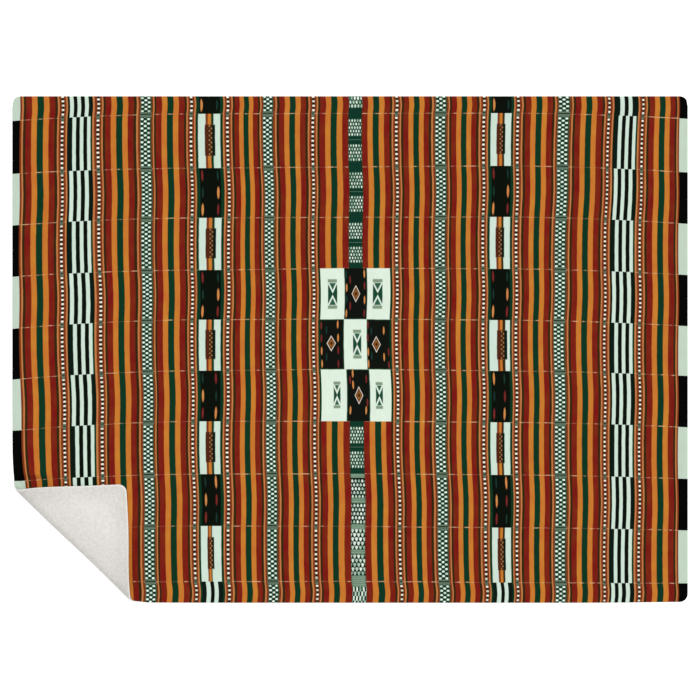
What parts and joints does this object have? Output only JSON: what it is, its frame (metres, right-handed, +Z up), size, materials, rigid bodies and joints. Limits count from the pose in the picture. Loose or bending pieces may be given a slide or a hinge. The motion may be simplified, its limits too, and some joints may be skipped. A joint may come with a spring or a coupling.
{
  "type": "flat throw blanket with a turned corner",
  "caption": "Rectangular plush throw blanket with rounded corners, spread flat with one corner folded over to show its fleece backing.",
  "frame": {"origin": "middle of the spread blanket, on the surface that it lies on", "axes": "+X right along the long side, +Y towards the top edge, +Z up out of the printed side"},
  "size_m": [2.0325, 1.5245, 0.0375],
  "materials": {
    "printed_plush": "short brushed polyester pile, printed",
    "white_fleece": "soft off-white fleece pile"
  },
  "bodies": {
    "root": {"printed_panel": "printed_plush", "backing_panel": "white_fleece"}
  },
  "joints": []
}
